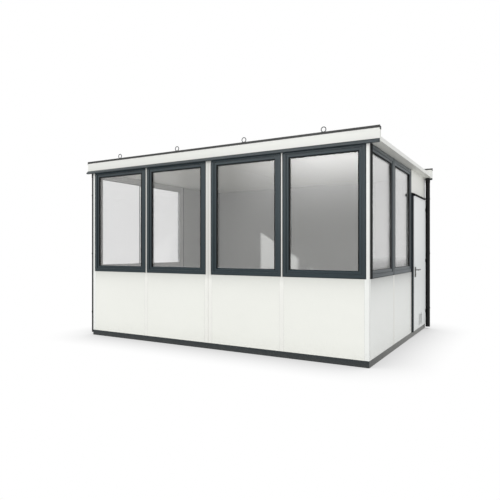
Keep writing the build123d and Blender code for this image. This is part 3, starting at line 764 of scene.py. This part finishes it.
for wall in ("front", "rear"):
    for number in range(roof["eyeCount"]):
        along = halfLength + (number - (roof["eyeCount"] - 1) / 2) * roof["eyePitch"]
        centre = wallPlace[wall] @ Vector((along, roof["eyeInset"], roof["capTop"]))
        upright = Matrix.Rotation(math.radians(90), 4, "X")
        stand = Matrix.Translation(centre + Vector((roof["collar"], 0, 0))) @ upright
        made = bmesh.ops.create_circle(
            weldMesh, cap_ends=False, segments=roof["beadSides"], radius=roof["bead"],
            matrix=stand,
        )
        edges = list({edge for vert in made["verts"] for edge in vert.link_edges})
        bmesh.ops.spin(
            weldMesh, geom=made["verts"] + edges, cent=centre, axis=(0, 0, 1), dvec=(0, 0, 0),
            angle=math.radians(360), steps=roof["beadSteps"], use_merge=True,
        )
bmesh.ops.remove_doubles(weldMesh, verts=weldMesh.verts, dist=roof["beadMerge"])
makePiece("lifting_eye_weld_beads", weldMesh, "booth", eyeSteel, smooth=True)
print("roof fittings built")

# Studio floor: white to the camera, with a soft shade where the booth stands
floorLook = {
    "size": 60.0, "colour": "F9F9F9", "shadeReach": 0.7, "shadePower": 0.56, "shadeSamples": 16,
}
floorMesh = bmesh.new()
bmesh.ops.create_grid(floorMesh, x_segments=1, y_segments=1, size=floorLook["size"] / 2)
floorData = bpy.data.meshes.new("studio_floor")
floorMesh.to_mesh(floorData)
floorMesh.free()
studioFloor = bpy.data.objects.new("studio_floor", floorData)
scene.collection.objects.link(studioFloor)
floorMaterial, tree, output, place = newMaterial("studio_floor_white")
matt = addNode(tree, "ShaderNodeBsdfDiffuse", {}, {"Color": hexColour(floorLook["colour"])})
shade = addNode(
    tree, "ShaderNodeAmbientOcclusion", {"samples": floorLook["shadeSamples"]},
    {"Distance": floorLook["shadeReach"]},
)
softer = addNode(
    tree, "ShaderNodeMath", {"operation": "POWER"}, {1: floorLook["shadePower"]},
    {0: shade.outputs["AO"]},
)
glow = addNode(
    tree, "ShaderNodeEmission", {}, {"Color": (1, 1, 1, 1)}, {"Strength": softer.outputs["Value"]},
)
path = addNode(tree, "ShaderNodeLightPath")
mirrored = addNode(
    tree, "ShaderNodeMath", {"operation": "MAXIMUM"}, {},
    {0: path.outputs["Is Glossy Ray"], 1: path.outputs["Is Transmission Ray"]},
)
seen = addNode(
    tree, "ShaderNodeMath", {"operation": "MAXIMUM"}, {},
    {0: path.outputs["Is Camera Ray"], 1: mirrored.outputs["Value"]},
)
floorMix = addNode(
    tree, "ShaderNodeMixShader", {}, {},
    {0: seen.outputs["Value"], 1: matt.outputs["BSDF"], 2: glow.outputs["Emission"]},
)
tree.links.new(floorMix.outputs["Shader"], output.inputs["Surface"])
floorData.materials.append(floorMaterial)

# Two panels stand out of sight and are seen only in the glass: a soft one in front makes
# the sheen on the front windows, a dark one far behind the foot of the side windows
def makeCard(name, low, high, y):
    mesh = bmesh.new()
    centre = ((low[0] + high[0]) / 2, y, (low[1] + high[1]) / 2)
    size = (high[0] - low[0], high[1] - low[1], 1.0, 1.0)
    stand = Matrix.Rotation(math.radians(90), 4, "X") @ Matrix.Diagonal(size)
    bmesh.ops.create_grid(
        mesh, x_segments=1, y_segments=1, size=0.5, matrix=Matrix.Translation(centre) @ stand,
    )
    data = bpy.data.meshes.new(name)
    mesh.to_mesh(data)
    mesh.free()
    card = bpy.data.objects.new(name, data)
    scene.collection.objects.link(card)
    card.visible_camera = False
    card.visible_diffuse = False
    card.visible_transmission = False
    card.visible_shadow = False
    return data


sheen = {
    "left": -3.8, "right": 1.0, "bottom": 1.3, "top": 4.6, "y": -8.0, "strength": 10.4,
    "riseFrom": 1.4, "riseTo": 3.5, "risePower": 2.35, "acrossFrom": -3.75, "acrossTo": -1.2,
}
cardData = makeCard(
    "sheen_card", (sheen["left"], sheen["bottom"]), (sheen["right"], sheen["top"]), sheen["y"],
)
cardMaterial, tree, output, place = newMaterial("sheen_card_light")
axes = addNode(tree, "ShaderNodeSeparateXYZ", {}, {}, {"Vector": place})
rise = addNode(
    tree, "ShaderNodeMapRange", {},
    {"From Min": sheen["riseFrom"], "From Max": sheen["riseTo"]}, {"Value": axes.outputs["Z"]},
)
steep = addNode(
    tree, "ShaderNodeMath", {"operation": "POWER"}, {1: sheen["risePower"]},
    {0: rise.outputs["Result"]},
)
across = addNode(
    tree, "ShaderNodeMapRange", {},
    {
        "From Min": sheen["acrossFrom"], "From Max": sheen["acrossTo"],
        "To Max": sheen["strength"],
    },
    {"Value": axes.outputs["X"]},
)
power = addNode(
    tree, "ShaderNodeMath", {"operation": "MULTIPLY"}, {},
    {0: steep.outputs["Value"], 1: across.outputs["Result"]},
)
cardGlow = addNode(
    tree, "ShaderNodeEmission", {}, {"Color": (1, 1, 1, 1)}, {"Strength": power.outputs["Value"]},
)
clear = addNode(tree, "ShaderNodeBsdfTransparent")
cardSum = addNode(
    tree, "ShaderNodeAddShader", {}, {},
    {0: cardGlow.outputs["Emission"], 1: clear.outputs["BSDF"]},
)
tree.links.new(cardSum.outputs["Shader"], output.inputs["Surface"])
cardData.materials.append(cardMaterial)

dusk = {
    "left": 3.2, "right": 9.0, "bottom": -0.5, "top": 1.1, "y": 12.0,
    "fadeFrom": 1.0, "fadeTo": 0.58, "dark": 0.03,
}
cardData = makeCard(
    "horizon_card", (dusk["left"], dusk["bottom"]), (dusk["right"], dusk["top"]), dusk["y"],
)
cardMaterial, tree, output, place = newMaterial("horizon_card_dark")
axes = addNode(tree, "ShaderNodeSeparateXYZ", {}, {}, {"Vector": place})
fade = addNode(
    tree, "ShaderNodeMapRange", {},
    {"From Min": dusk["fadeFrom"], "From Max": dusk["fadeTo"]}, {"Value": axes.outputs["Z"]},
)
clear = addNode(tree, "ShaderNodeBsdfTransparent")
dark = addNode(
    tree, "ShaderNodeEmission", {}, {"Color": (*[dusk["dark"]] * 3, 1), "Strength": 1.0},
)
cardMix = addNode(
    tree, "ShaderNodeMixShader", {}, {},
    {0: fade.outputs["Result"], 1: clear.outputs["BSDF"], 2: dark.outputs["Emission"]},
)
tree.links.new(cardMix.outputs["Shader"], output.inputs["Surface"])
cardData.materials.append(cardMaterial)

# Light: a white surround, a weak low sun from the front left, and the same sun again
# for the inside of the room only, where it falls through the left windows
lightLook = {
    "surround": 0.90, "sun": 1.0, "roomSun": 3.0, "sunWay": (1.0, 1.0, -0.632), "sunAngle": 1.2,
    "sunPlace": (-8, -8, 6),
}
world = bpy.data.worlds.new("white_studio")
scene.world = world
world.use_nodes = True
tree = world.node_tree
tree.nodes.clear()
output = addNode(tree, "ShaderNodeOutputWorld")
path = addNode(tree, "ShaderNodeLightPath")
seenOrMirrored = addNode(
    tree, "ShaderNodeMath", {"operation": "MAXIMUM"}, {},
    {0: path.outputs["Is Camera Ray"], 1: path.outputs["Is Glossy Ray"]},
)
seenAtAll = addNode(
    tree, "ShaderNodeMath", {"operation": "MAXIMUM"}, {},
    {0: seenOrMirrored.outputs["Value"], 1: path.outputs["Is Transmission Ray"]},
)
soft = addNode(
    tree, "ShaderNodeBackground", {},
    {"Color": (1, 1, 1, 1), "Strength": lightLook["surround"]},
)
white = addNode(
    tree, "ShaderNodeBackground", {}, {"Color": (1, 1, 1, 1), "Strength": 1.0},
)
surround = addNode(
    tree, "ShaderNodeMixShader", {}, {},
    {0: seenAtAll.outputs["Value"], 1: soft.outputs["Background"], 2: white.outputs["Background"]},
)
tree.links.new(surround.outputs["Shader"], output.inputs["Surface"])

outsideGroup = bpy.data.collections.new("lit_by_low_sun")
roomGroup = bpy.data.collections.new("lit_by_room_sun")
roomNames = ("rear_wall_panels", "rear_mullions", "rear_centre_post", "floor_deck")
for name, node in nodes.items():
    outsideGroup.objects.link(node)
    if name in roomNames:
        roomGroup.objects.link(node)
for piece in addedPieces:
    outsideGroup.objects.link(piece)
for name, energy, group in (
    ("low_sun", lightLook["sun"], outsideGroup), ("room_sun", lightLook["roomSun"], roomGroup),
):
    sunData = bpy.data.lights.new(name, "SUN")
    sunData.energy = energy
    sunData.angle = math.radians(lightLook["sunAngle"])
    sun = bpy.data.objects.new(name, sunData)
    sun.rotation_mode = "QUATERNION"
    sun.rotation_quaternion = Vector(lightLook["sunWay"]).to_track_quat("-Z", "Y")
    sun.location = lightLook["sunPlace"]
    scene.collection.objects.link(sun)
    sun.light_linking.receiver_collection = group

cameraLook = {"place": (3.5404, -6.6418, 1.25), "turn": 30.0, "lens": 35.0, "sensor": 36.0}
cameraData = bpy.data.cameras.new("photo_camera")
cameraData.lens = cameraLook["lens"]
cameraData.sensor_width = cameraLook["sensor"]
camera = bpy.data.objects.new("photo_camera", cameraData)
camera.location = cameraLook["place"]
camera.rotation_euler = (math.radians(90), 0, math.radians(cameraLook["turn"]))
scene.collection.objects.link(camera)
scene.camera = camera
scene.view_settings.view_transform = "Standard"
print("camera and light set")
